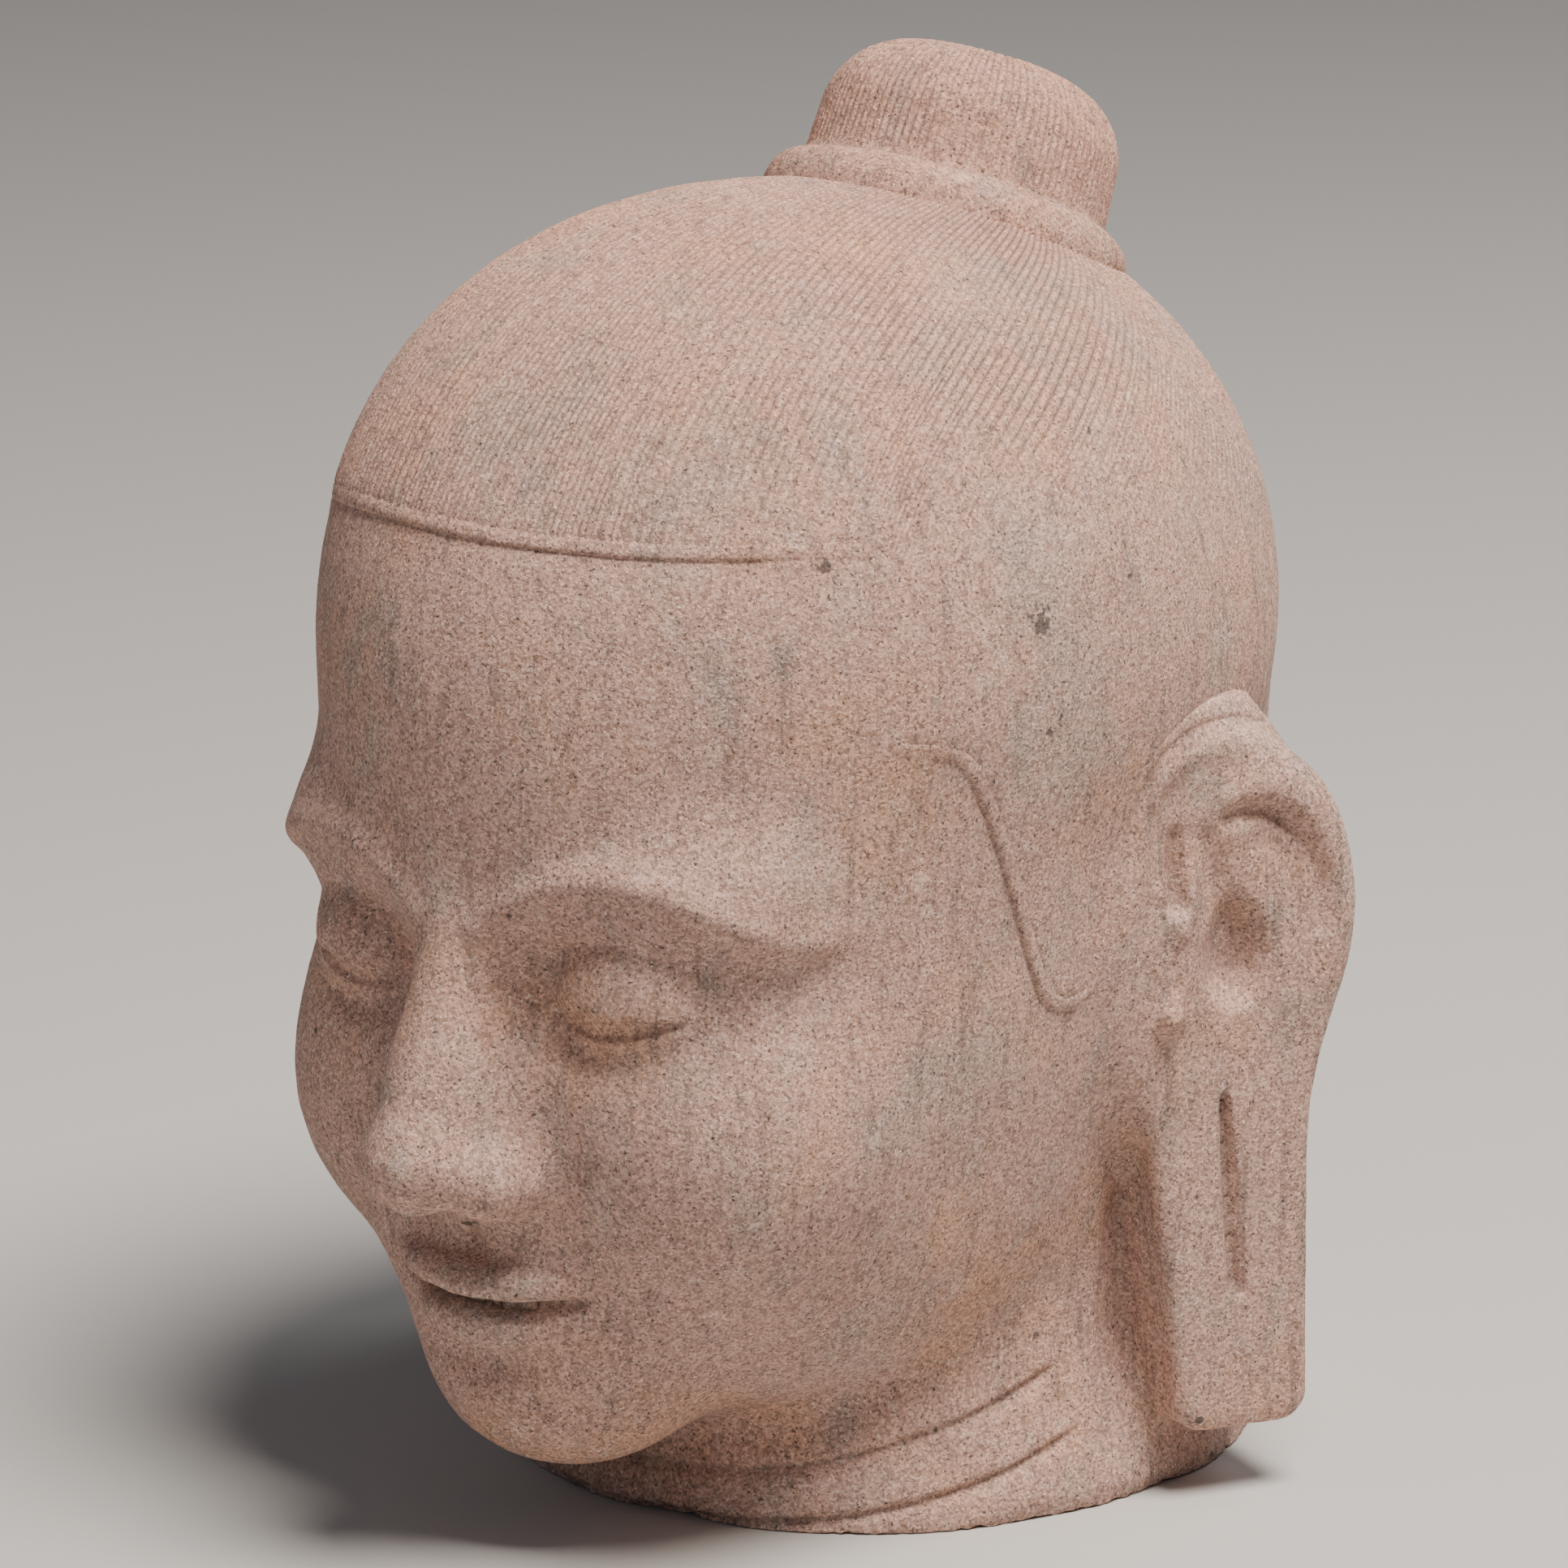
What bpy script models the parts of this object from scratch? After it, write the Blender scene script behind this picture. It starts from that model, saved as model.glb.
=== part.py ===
# Stone portrait head: a broad oval head with close-combed hair, a topknot on a plain collar,
# long ear lobes with a cut slit, and a short neck that is cut off flat.
#
# The block is roughed out from spheres, rods and blocks. A voxel remesh makes it one skin, and each
# vertex is then carved onto the form: a distance field of the same masses, blended softly, with
# brows, lids, lips, hairline, ears and neck folds cut into it or raised on it.
#
# +Z is up, the face looks along -Y and the statue's left ear is at +X. The origin is at the middle
# of the neck's cut underside. Sizes are in metres. The free form of the head is in modules:
# forty-two modules make the height from the underside to the top of the topknot.

import math

import bmesh
import bpy
import numpy as np
from mathutils import Matrix, Vector

# Driving sizes
head_height = 0.42
neck_width = 0.192
neck_depth = 0.208
neck_flare = 0.022
collar_diameter = 0.107
collar_height = 0.0125
knot_diameter = 0.089
knot_height = 0.0385
ear_length = 0.198
ear_width = 0.059
lobe_width = 0.041
ear_thickness = 0.024
slit_length = 0.063
slit_depth = 0.004
hair_relief = 0.0012
neck_fold_depth = 0.0012

# Carving: the spare stone sawn off below, the finenesses of the skin and the facets left at the end
spare_foot = 0.015
skin_voxels = (0.006, 0.0035, 0.002)
most_triangles = 9700

module = head_height / 42

# Tilts: the face nods forward, the topknot leans back and the ears stand off.
nod = math.radians(5)
knot_lean = math.radians(25)
ear_flare = math.radians(27)

# Places on the upright head, in modules.
nod_pivot = 15.0
eye_level = 18.3
eye_spacing = 4.35
nose_level = 12.6
mouth_level = 9.4

# Masses of the upright head, in modules: centre and half-sizes. The right half mirrors the left.
cranium = ((0, -2.7, 24.4), (12.1, 15.2, 12.5))
crown = ((3.2, -4.2, 26.8), (8.6, 11.0, 9.6))
face_block = ((0, -8.0, 15.0), (10.2, 10.0, 11.4))
side_block = ((0, -1.6, 15.4), (10.6, 10.4, 9.8))
jaw = ((0, -5.5, 9.2), (8.8, 9.6, 5.4))
cheek = ((5.0, -13.2, 13.6), (4.2, 4.2, 4.6))
mouth_barrel = ((0, -14.2, 9.2), (5.2, 4.0, 4.0))
chin = ((0, -14.7, 6.3), (3.8, 3.2, 2.8))
brow_bone = ((4.2, -13.5, 21.2), (4.6, 3.4, 2.3))
eyeball = ((eye_spacing, -14.75, eye_level), (2.6, 2.5, 2.3))
nose_tip = ((0, -20.2, 13.9), (1.45, 1.3, 1.3))
nose_flank = ((0, -17.1, 14.8), (2.5, 2.8, 3.2))
nose_wing = ((1.75, -18.7, 13.4), (1.15, 1.5, 1.15))
bridge_top = (0, -16.6, 21.6)
bridge_foot = (0, -20.1, 14.1)
bridge_radius = 1.15

# Seats of the topknot and the ears, in modules: back and up for the topknot, out and back for the ears.
knot_seat = (3.0, 35.3)
collar_top = 0.4
ear_seat = (11.7, 1.3)
ear_foot = 2.0
ear_top = ear_foot + ear_length / module


# Soft joins and simple forms. Each takes points in modules and gives a distance, negative inside.

def smooth_min(a, b, blend):
    share = np.clip(0.5 + 0.5 * (b - a) / blend, 0, 1)
    return b + (a - b) * share - blend * share * (1 - share)


def smooth_max(a, b, blend):
    return -smooth_min(-a, -b, blend)


def step(value, low, high):
    share = np.clip((value - low) / (high - low), 0, 1)
    return share * share * (3 - 2 * share)


def ridge(distance, width):
    return np.exp(-((distance / width) ** 2))


def ellipsoid(x, y, z, mass):
    centre, half = mass
    dx, dy, dz = (x - centre[0]) / half[0], (y - centre[1]) / half[1], (z - centre[2]) / half[2]
    length = np.sqrt(dx * dx + dy * dy + dz * dz + 1e-9)
    slope = np.sqrt((dx / half[0]) ** 2 + (dy / half[1]) ** 2 + (dz / half[2]) ** 2 + 1e-9)
    return length * (length - 1) / slope


def rod(x, y, z, start, end, start_radius, end_radius):
    along = np.subtract(end, start)
    dx, dy, dz = x - start[0], y - start[1], z - start[2]
    share = np.clip((dx * along[0] + dy * along[1] + dz * along[2]) / along.dot(along), 0, 1)
    dx, dy, dz = dx - share * along[0], dy - share * along[1], dz - share * along[2]
    return np.sqrt(dx * dx + dy * dy + dz * dz) - (start_radius + share * (end_radius - start_radius))


def rounded_box(a, b, half_a, half_b, rounding):
    qa, qb = np.abs(a) - (half_a - rounding), np.abs(b) - (half_b - rounding)
    outside = np.hypot(np.maximum(qa, 0), np.maximum(qb, 0))
    return outside + np.minimum(np.maximum(qa, qb), 0) - rounding


def curve_distance(u, v, points):
    nearest = np.full(u.shape, 1e3)
    for (u0, v0), (u1, v1) in zip(points, points[1:]):
        du, dv = u1 - u0, v1 - v0
        share = np.clip(((u - u0) * du + (v - v0) * dv) / (du * du + dv * dv), 0, 1)
        nearest = np.minimum(nearest, np.hypot(u - u0 - share * du, v - v0 - share * dv))
    return nearest


def arch(points, steps=6):
    # A smooth curve through the given points.
    ends = [points[0], *points, points[-1]]
    curve = []
    for before, start, end, after in zip(ends, ends[1:], ends[2:], ends[3:]):
        before, start, end, after = map(np.array, (before, start, end, after))
        for i in range(steps):
            t = i / steps
            curve.append(
                start
                + t * (end - before) / 2
                + t * t * (before - 2.5 * start + 2 * end - after / 2)
                + t ** 3 * (1.5 * (start - end) + (after - before) / 2)
            )
    return [*curve, np.array(points[-1])]


# Lines of the carving: across and up, in modules, on one half of the face.
brow_line = arch([(1.1, 20.4), (2.8, 21.5), (5.0, 22.0), (7.2, 21.5), (9.0, 19.9)])

# Lines of the ear's relief: back from the seat and up from the middle of the hollow, in modules.
gutter_line = arch([(-0.9, 2.9), (-0.2, 3.05), (0.75, 2.75), (1.65, 1.9), (2.15, 0.7), (2.1, -0.6)], steps=3)
fossa_line = [(-1.65, 2.3), (-0.75, 0.3)]
front_groove_line = [(-2.7, 2.6), (-2.65, 0.7)]
crus_line = [(-2.15, 2.4), (-2.15, 0.8), (-2.3, -0.2)]
front_rim_line = [(-3.0, 1.2), (-2.5, 0.0), (-2.25, -1.7), (-2.65, -2.5)]


def skull(x, y, z):
    form = ellipsoid(x, y, z, cranium)
    soft_x = np.sqrt(x * x + 1.5)
    form = smooth_min(form, ellipsoid(soft_x, y, z, crown), 1.5)
    form = smooth_min(form, ellipsoid(x, y, z, side_block), 3.0)
    form = smooth_min(form, ellipsoid(x, y, z, face_block), 4.0)
    form = smooth_min(form, ellipsoid(x, y, z, jaw), 3.0)
    form = smooth_min(form, ellipsoid(x, y, z, cheek), 2.5)
    form = smooth_min(form, ellipsoid(x, y, z, mouth_barrel), 1.6)
    return smooth_min(form, ellipsoid(x, y, z, chin), 1.8)


def with_eyes(form, x, y, z):
    form = smooth_min(form, ellipsoid(x, y, z, brow_bone), 1.5)
    socket = ((eye_spacing + 0.1, -20.2, eye_level + 0.2), (3.7, 3.8, 2.35))
    form = smooth_max(form, -ellipsoid(x, y, z, socket), 1.1)
    ball = ellipsoid(x, y, z, eyeball)
    form = smooth_min(form, ball, 0.5)
    across = (x - eye_spacing) / 2.4
    upper_rim = eye_level - 0.35 + 0.25 * (1 - across ** 2) + 0.12 * across
    lower_rim = eye_level - 0.6 - 0.3 * (1 - across ** 2) + 0.12 * across
    upper_lid = smooth_max(ball - 0.3, upper_rim - z, 0.15)
    lower_lid = smooth_max(ball - 0.2, z - lower_rim, 0.15)
    form = smooth_min(form, upper_lid, 0.25)
    form = smooth_min(form, lower_lid, 0.4)
    front = step(-y, 9, 12)
    brow = curve_distance(x, z, brow_line)
    return form - 0.28 * ridge(brow, 0.55) * front


def with_nose(form, x, y, z):
    nose = rod(x, y, z, bridge_top, bridge_foot, bridge_radius, bridge_radius)
    nose = smooth_min(nose, ellipsoid(x, y, z, nose_flank), 1.3)
    nose = smooth_min(nose, ellipsoid(x, y, z, nose_tip), 0.8)
    nose = smooth_min(nose, ellipsoid(x, y, z, nose_wing), 0.6)
    septum = rod(x, y, z, (0, -20.3, 13.2), (0, -18.2, 12.9), 0.5, 0.6)
    form = smooth_min(form, smooth_min(nose, septum, 0.5), 0.9)
    nostril = ((0.95, -19.1, 12.5), (0.5, 0.9, 0.45))
    return smooth_max(form, -ellipsoid(x, y, z, nostril), 0.3)


def with_mouth(form, x, y, z):
    curl = y - 0.075 * x * x
    height = z - mouth_level - 0.015 * x * x
    sulcus = ((0, -19.2, -1.9), (2.4, 1.3, 0.65))
    form = smooth_max(form, -ellipsoid(x, curl, height, sulcus), 0.8)
    upper_lip = ellipsoid(x, curl, height, ((1.1, -17.75, 0.5), (2.4, 0.95, 0.62)))
    bead = ellipsoid(x, curl, height, ((0, -17.9, 0.45), (0.9, 0.9, 0.5)))
    lower_lip = ellipsoid(x, curl, height, ((0, -17.6, -0.62), (2.9, 1.05, 0.78)))
    form = smooth_min(form, smooth_min(upper_lip, bead, 0.5), 0.35)
    form = smooth_min(form, lower_lip, 0.35)
    front = step(-y, 14.5, 15.5)
    parting = ridge(height - 0.04 * np.cos(1.7 * x), 0.22) * step(3.7 - x, 0, 0.7)
    philtrum = ridge(x, 0.4) * step(z, mouth_level + 1.1, mouth_level + 1.5) * step(nose_level - z, 0, 0.6)
    return form + (0.25 * parting + 0.12 * philtrum) * front


def neck(x, y, z):
    flare = neck_flare / 2 / module * (1 - step(z, -1, 5.5))
    half_width = neck_width / 2 / module + flare
    half_depth = neck_depth / 2 / module + flare
    round_section = (np.hypot(x / half_width, y / half_depth) - 1) * half_width
    return smooth_max(round_section, z - 19, 3)


def ear(x, y, z):
    # A flared plate, measured back and out from its seat.
    dx, dy = x - ear_seat[0], y - ear_seat[1]
    back = dx * math.sin(ear_flare) + dy * math.cos(ear_flare)
    out = dx * math.cos(ear_flare) - dy * math.sin(ear_flare)
    half_ear, half_lobe = ear_width / 2 / module, lobe_width / 2 / module
    half_thickness = ear_thickness / 2 / module

    # Outline: an oval shell over a lobe that leans and widens slightly upwards
    shell_half_height = 4.35
    shell_middle = ear_top - shell_half_height
    shell = (np.hypot((back - 0.3) / half_ear, (z - shell_middle) / shell_half_height) - 1) * half_ear
    lobe_middle = (ear_foot + shell_middle) / 2
    lobe_half_height = lobe_middle - ear_foot
    half_width = half_lobe + 0.05 * (z - ear_foot)
    lobe = rounded_box(back + 0.06 * (z - ear_foot), z - lobe_middle, half_width, lobe_half_height, 0.9)
    outline = smooth_min(shell, lobe, 2.4)

    # Relief of the outer face: rim, gutter inside it, hollows, front rim, tragus and the lobe's slit
    up = z - ear_top + 4.7
    rim = 0.25 * ridge(outline + 0.7, 0.5) * step(up, -4, -1)
    gutter_run = step(back, -1.4, 0.4) * step(up, -1.6, 0.6)
    gutter = 0.55 * ridge(curve_distance(back, up, gutter_line), 0.42) * gutter_run
    bowl = (np.hypot((back + 0.35) / 1.2, (up + 1.2) / 1.7) - 1) * 1.2
    hollow = 0.85 * (1 - step(bowl, -0.9, 0.3))
    hollow = hollow + 0.4 * ridge(curve_distance(back, up, fossa_line), 0.6)
    hollow = hollow + 0.45 * ridge(curve_distance(back, up, front_groove_line), 0.38)
    front_rim = 0.2 * ridge(curve_distance(back, up, front_rim_line), 0.35)
    front_rim = front_rim + 0.12 * ridge(curve_distance(back, up, crus_line), 0.25)
    tragus = 0.25 * ridge(np.hypot(back + 2.7, up + 2.6), 0.75)
    slit_top = ear_top - 9.65
    slit_foot = slit_top - slit_length / module
    slit_run = step(z, slit_foot, slit_foot + 0.6) * step(slit_top - z, 0, 0.6)
    slit = slit_depth / module * ridge(back + 0.3 + 0.077 * (z - slit_foot), 0.3) * slit_run
    outer_face = out - half_thickness + gutter + hollow + slit - rim - front_rim - tragus

    # The back slopes in from the free rim, so that stone is left between the ear and the head.
    back_face = -out - half_thickness - 0.8 * np.maximum(half_ear + 0.4 - back, 0)
    return smooth_max(smooth_max(outline, outer_face, 0.6), back_face, 0.5)


def topknot(x, y, z):
    # A plain collar and a rounded, slightly tapered knot, turned about one leaning axis.
    dy, dz = y - knot_seat[0], z - knot_seat[1]
    up = dy * math.sin(knot_lean) + dz * math.cos(knot_lean)
    back = dy * math.cos(knot_lean) - dz * math.sin(knot_lean)
    out = np.hypot(x, back)
    sunk = 1.5
    half_collar = (collar_height / module + sunk) / 2
    collar = rounded_box(out, up - collar_top + half_collar, collar_diameter / 2 / module, half_collar, 0.6)
    knot_top = collar_top + knot_height / module
    half_knot = (knot_top + 2 * sunk) / 2
    radius = knot_diameter / 2 / module - 0.06 * (up - collar_top)
    knot = rounded_box(out, up - knot_top + half_knot, radius, half_knot, 2.2)
    return smooth_min(collar, knot, 0.2)


# The hairline, as degrees round from the front of the skull and height in modules: a level front,
# a temple corner, a sideburn before the ear, a bay over the ear and a level nape.
hairline_points = [
    (-20, 29.1),
    (20, 29.1),
    (44, 29.15),
    (48.5, 28.8),
    (50.6, 28.1),
    (51, 26.5),
    (49.6, 24.0),
    (54.5, 23.6),
    (58.5, 23.3),
    (61, 22.6),
    (66, 20.2),
    (73, 16.9),
    (76.3, 15.9),
    (80, 15.5),
    (83.5, 15.8),
    (86, 17.2),
    (88.3, 19.4),
    (91, ear_top - 0.1),
    (96.5, ear_top + 0.7),
    (105, ear_top + 1.2),
    (115, ear_top + 1.1),
    (121, ear_top - 1.0),
    (127, 16.0),
    (133, 11.0),
    (141, 8.6),
    (165, 8.0),
    (200, 8.0),
]
hair_top = 60
hair_outline = [*arch(hairline_points, steps=3), (200, hair_top), (-20, hair_top)]
skull_middle = -3.5
degree_length = 0.22


def outline_distance(u, v, points):
    # Distance to a closed outline, negative inside.
    closed = [*points, points[0]]
    inside = np.zeros(u.shape, bool)
    for (u0, v0), (u1, v1) in zip(closed, closed[1:]):
        if v0 != v1:
            inside ^= ((v0 > v) != (v1 > v)) & (u < u0 + (v - v0) * (u1 - u0) / (v1 - v0))
    distance = curve_distance(u, v, closed)
    return np.where(inside, -distance, distance)


def round_from_front(x, y, middle):
    return np.degrees(np.arctan2(x, middle - y))


def hair(x, y, z):
    # Height of the hair over the bare stone, in modules.
    turn = round_from_front(x, y, skull_middle) * degree_length
    outline = [(degrees * degree_length, level) for degrees, level in hair_outline]
    edge = outline_distance(turn, z, outline)
    return hair_relief / module * step(-edge, -0.08, 0.12)


def neck_folds(x, y, z):
    # Two incised lines that rise towards the back and end below the ears.
    turn = np.clip(round_from_front(x, y, 0) / 68, 0, 2)
    upper = ridge(z - 1.5 - 2.6 * turn ** 2, 0.2) * step(-turn, -1.05, -0.99)
    lower = ridge(z - 0.15 - 1.9 * turn ** 2.3, 0.2) * step(-turn, -1.09, -1.03)
    return neck_fold_depth / module * (upper + lower)


def nodded(y, z):
    dz = z - nod_pivot
    return y * math.cos(nod) + dz * math.sin(nod), nod_pivot - y * math.sin(nod) + dz * math.cos(nod)


def edge_wear(x, y, z):
    # The cut edge of the neck is worn and slightly uneven, the same on neither side.
    round_neck = np.arctan2(x, -y)
    wear = 0.5 + 0.3 * np.sin(5 * round_neck + 1) + 0.2 * np.sin(13 * round_neck)
    return 0.3 * wear ** 2 * step(-z, -0.7, 0.1)


def form(points):
    # Distance from the carved surface, in metres, at points in metres.
    across, y, z = points.T / module
    x = np.abs(across)
    face_y, face_z = nodded(y, z)
    stone = skull(x, face_y, face_z)
    stone = with_eyes(stone, x, face_y, face_z)
    stone = with_nose(stone, x, face_y, face_z)
    stone = with_mouth(stone, x, face_y, face_z)
    throat = neck(x, y, z) + neck_folds(x, y, z)
    stone = smooth_min(stone, throat, 0.9 + 3.6 * step(y, 0, 9)) - hair(x, y, z)
    stone = smooth_min(stone, ear(x, y, z), 1.0 + 1.2 * step(z, 6.5, 12.5))
    stone = smooth_min(stone, topknot(x, y, z), 0.25)
    stone = stone + edge_wear(across, y, z)
    return smooth_max(stone, -z - spare_foot / module, 0.3) * module


# Roughing out

def add_ball(mass, mirrored=False):
    centre, half = mass
    for side in (1, -1) if mirrored else (1,):
        bpy.ops.mesh.primitive_uv_sphere_add(segments=32, ring_count=20, radius=1)
        ball = bpy.context.object
        upright = Matrix.LocRotScale((side * centre[0], centre[1], centre[2] - nod_pivot), None, half)
        lean = Matrix.Translation((0, 0, nod_pivot)) @ Matrix.Rotation(nod, 4, "X")
        ball.data.transform(Matrix.Scale(module, 4) @ lean @ upright)


def add_rod(start, end, radius_x, radius_y):
    # A cylinder from one point to another, in metres.
    bpy.ops.mesh.primitive_cylinder_add(vertices=64, radius=1, depth=1)
    along = Vector(end) - Vector(start)
    turn = along.to_track_quat("Z", "Y").to_matrix().to_4x4()
    size = Matrix.Diagonal((radius_x, radius_y, along.length, 1))
    middle = (Vector(start) + Vector(end)) / 2
    bpy.context.object.data.transform(Matrix.Translation(middle) @ turn @ size)


def add_ear_block(side):
    bpy.ops.mesh.primitive_cube_add(size=1)
    size = Matrix.Diagonal((2 * ear_thickness, ear_width, ear_length, 1))
    seat_x, seat_y = ear_seat[0] * module, ear_seat[1] * module
    place = Matrix.Translation((seat_x - ear_thickness / 2, seat_y, ear_foot * module + ear_length / 2))
    mirror = Matrix.Diagonal((side, 1, 1, 1))
    bpy.context.object.data.transform(mirror @ place @ Matrix.Rotation(-ear_flare, 4, "Z") @ size)


def rough_block():
    for mass in (cranium, face_block, side_block, jaw, mouth_barrel, chin, nose_tip, nose_flank):
        add_ball(mass)
    for mass in (crown, cheek, brow_bone, nose_wing):
        add_ball(mass, mirrored=True)
    half_width, half_depth = (neck_width + neck_flare) / 2, (neck_depth + neck_flare) / 2
    add_rod((0, 0, -spare_foot), (0, 0, 14 * module), half_width, half_depth)
    seat = Vector((0, *knot_seat)) * module
    lean = Vector((0, math.sin(knot_lean), math.cos(knot_lean)))
    top = seat + lean * collar_top * module
    add_rod(top - lean * 2 * collar_height, top, collar_diameter / 2, collar_diameter / 2)
    add_rod(seat, top + lean * knot_height, knot_diameter / 2, knot_diameter / 2)
    bridge = bridge_radius * module
    add_rod(Vector(bridge_top) * module, Vector(bridge_foot) * module, bridge, bridge)
    for side in (1, -1):
        add_ear_block(side)
    blocks = [thing for thing in bpy.data.objects if thing.type == "MESH"]
    bpy.ops.object.select_all(action="DESELECT")
    for block in blocks:
        block.select_set(True)
    bpy.context.view_layer.objects.active = blocks[0]
    bpy.ops.object.join()
    return blocks[0]


def remesh(stone, voxel):
    skin = stone.modifiers.new("Skin", "REMESH")
    skin.mode = "VOXEL"
    skin.voxel_size = voxel
    bpy.context.view_layer.objects.active = stone
    bpy.ops.object.modifier_apply(modifier=skin.name)


def carve(stone, passes, longest_step):
    # Moves each vertex down the slope of the form until it lies on the carved surface.
    mesh = stone.data
    points = np.empty(len(mesh.vertices) * 3, np.float32)
    mesh.vertices.foreach_get("co", points)
    points = points.reshape(-1, 3).astype(float)
    nudge = 0.01 * module
    for _ in range(passes):
        off = form(points)
        slope = np.stack([form(points + nudge * axis) - off for axis in np.eye(3)], axis=1) / nudge
        move = -slope * (off / np.maximum((slope ** 2).sum(axis=1), 0.1))[:, None]
        length = np.linalg.norm(move, axis=1, keepdims=True)
        points += move * np.minimum(1, longest_step / np.maximum(length, 1e-9))
    mesh.vertices.foreach_set("co", points.astype(np.float32).ravel())
    mesh.update()


def relax(stone):
    # Evens out the skin between two carvings, so that no triangle folds over at a sharp edge.
    even = stone.modifiers.new("Even", "SMOOTH")
    even.factor = 0.5
    even.iterations = 3
    bpy.ops.object.modifier_apply(modifier=even.name)


def thin_out(stone):
    # Keeps the triangles where the carving needs them.
    stone.data.calc_loop_triangles()
    thin = stone.modifiers.new("Thin", "DECIMATE")
    thin.ratio = most_triangles / len(stone.data.loop_triangles)
    bpy.ops.object.modifier_apply(modifier=thin.name)


def cut_flat(stone):
    # Saws off the spare foot at the underside and closes the cut.
    shape = bmesh.new()
    shape.from_mesh(stone.data)
    everything = [*shape.verts, *shape.edges, *shape.faces]
    underside = {"plane_co": (0, 0, 0), "plane_no": (0, 0, -1)}
    cut = bmesh.ops.bisect_plane(shape, geom=everything, clear_outer=True, **underside)
    rim = [piece for piece in cut["geom_cut"] if isinstance(piece, bmesh.types.BMEdge)]
    bmesh.ops.edgeloop_fill(shape, edges=rim)
    bmesh.ops.recalc_face_normals(shape, faces=shape.faces[:])
    shape.to_mesh(stone.data)
    shape.free()


def sandstone():
    material = bpy.data.materials.new("Sandstone")
    material.use_nodes = True
    surface = material.node_tree.nodes["Principled BSDF"]
    surface.inputs["Base Color"].default_value = (0.48, 0.32, 0.25, 1)
    surface.inputs["Roughness"].default_value = 0.9
    surface.inputs["Metallic"].default_value = 0
    return material


for old in list(bpy.data.objects):
    bpy.data.objects.remove(old)
collection = bpy.data.collections.new("Stone portrait head")
bpy.context.scene.collection.children.link(collection)

stone_head = rough_block()
stone_head.name = "stone_head"
for voxel in skin_voxels:
    remesh(stone_head, voxel)
    carve(stone_head, 4, voxel)
    relax(stone_head)
    carve(stone_head, 1, voxel)
thin_out(stone_head)
cut_flat(stone_head)
stone_head.data.shade_smooth()
stone_head.data.materials.clear()
stone_head.data.materials.append(sandstone())
for holder in stone_head.users_collection:
    holder.objects.unlink(stone_head)
collection.objects.link(stone_head)
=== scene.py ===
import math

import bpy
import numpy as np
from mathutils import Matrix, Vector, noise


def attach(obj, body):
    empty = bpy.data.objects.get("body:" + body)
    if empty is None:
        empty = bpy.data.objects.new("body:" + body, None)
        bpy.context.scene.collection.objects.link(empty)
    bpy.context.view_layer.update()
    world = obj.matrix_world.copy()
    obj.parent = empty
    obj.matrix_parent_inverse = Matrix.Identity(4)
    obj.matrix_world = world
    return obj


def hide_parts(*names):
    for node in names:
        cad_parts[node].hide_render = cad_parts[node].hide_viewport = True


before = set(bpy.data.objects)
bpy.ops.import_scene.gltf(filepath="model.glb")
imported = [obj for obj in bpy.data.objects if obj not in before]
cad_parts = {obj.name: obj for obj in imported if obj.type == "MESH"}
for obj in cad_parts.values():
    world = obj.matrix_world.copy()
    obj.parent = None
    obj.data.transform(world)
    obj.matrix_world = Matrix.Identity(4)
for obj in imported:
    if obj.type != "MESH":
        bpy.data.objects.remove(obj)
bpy.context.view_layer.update()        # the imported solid, at rest, in metres

# A carved sandstone head with combed hair, a topknot on a plain collar and long ears.
# The solid is cut once more at a finer grain, in three pieces that meet where the carving has an
# edge: the bare stone of face, ears and neck, the combed hair, and the topknot.
# Forms are in modules of 10 mm; +Z is up, the face looks along -Y, the statue's left ear is at +X.

print("frame loaded:", sorted(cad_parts))

view = {
    "azimuth": 40,       # degrees round from the front, towards the statue's left ear
    "elevation": 14.5,
    "distance": 2.5,
    "lens": 200,         # mm on a 36 mm sensor
    "aimHeight": 0.189,
    "aimSide": -0.028,   # the head stands a little right of the middle of the picture
}


def towards(azimuth, elevation):
    round_, up = math.radians(azimuth), math.radians(elevation)
    return Vector((math.sin(round_) * math.cos(up), -math.cos(round_) * math.cos(up), math.sin(up)))


def placeCamera():
    back = towards(view["azimuth"], view["elevation"])
    side = towards(view["azimuth"] + 90, 0)
    aim = Vector((0, 0, view["aimHeight"])) + side * view["aimSide"]
    turn = back.to_track_quat("Z", "Y").to_euler()
    bpy.ops.object.camera_add(location=aim + back * view["distance"], rotation=turn)
    camera = bpy.context.object
    camera.data.sensor_width = 36
    camera.data.lens = view["lens"]
    bpy.context.scene.camera = camera


placeCamera()
print("camera placed")

# Soft joins and simple forms. Each gives a distance in modules, negative inside the stone.


def smoothMin(a, b, blend):
    share = np.clip(0.5 + 0.5 * (b - a) / blend, 0, 1)
    return b + (a - b) * share - blend * share * (1 - share)


def smoothMax(a, b, blend):
    return -smoothMin(-a, -b, blend)


def step(value, low, high):
    share = np.clip((value - low) / (high - low), 0, 1)
    return share * share * (3 - 2 * share)


def ridge(distance, width):
    return np.exp(-((distance / width) ** 2))


def ellipsoid(x, y, z, mass):
    centre, half = mass
    dx, dy, dz = (x - centre[0]) / half[0], (y - centre[1]) / half[1], (z - centre[2]) / half[2]
    length = np.sqrt(dx * dx + dy * dy + dz * dz + 1e-9)
    slope = np.sqrt((dx / half[0]) ** 2 + (dy / half[1]) ** 2 + (dz / half[2]) ** 2 + 1e-9)
    return length * (length - 1) / slope


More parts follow.
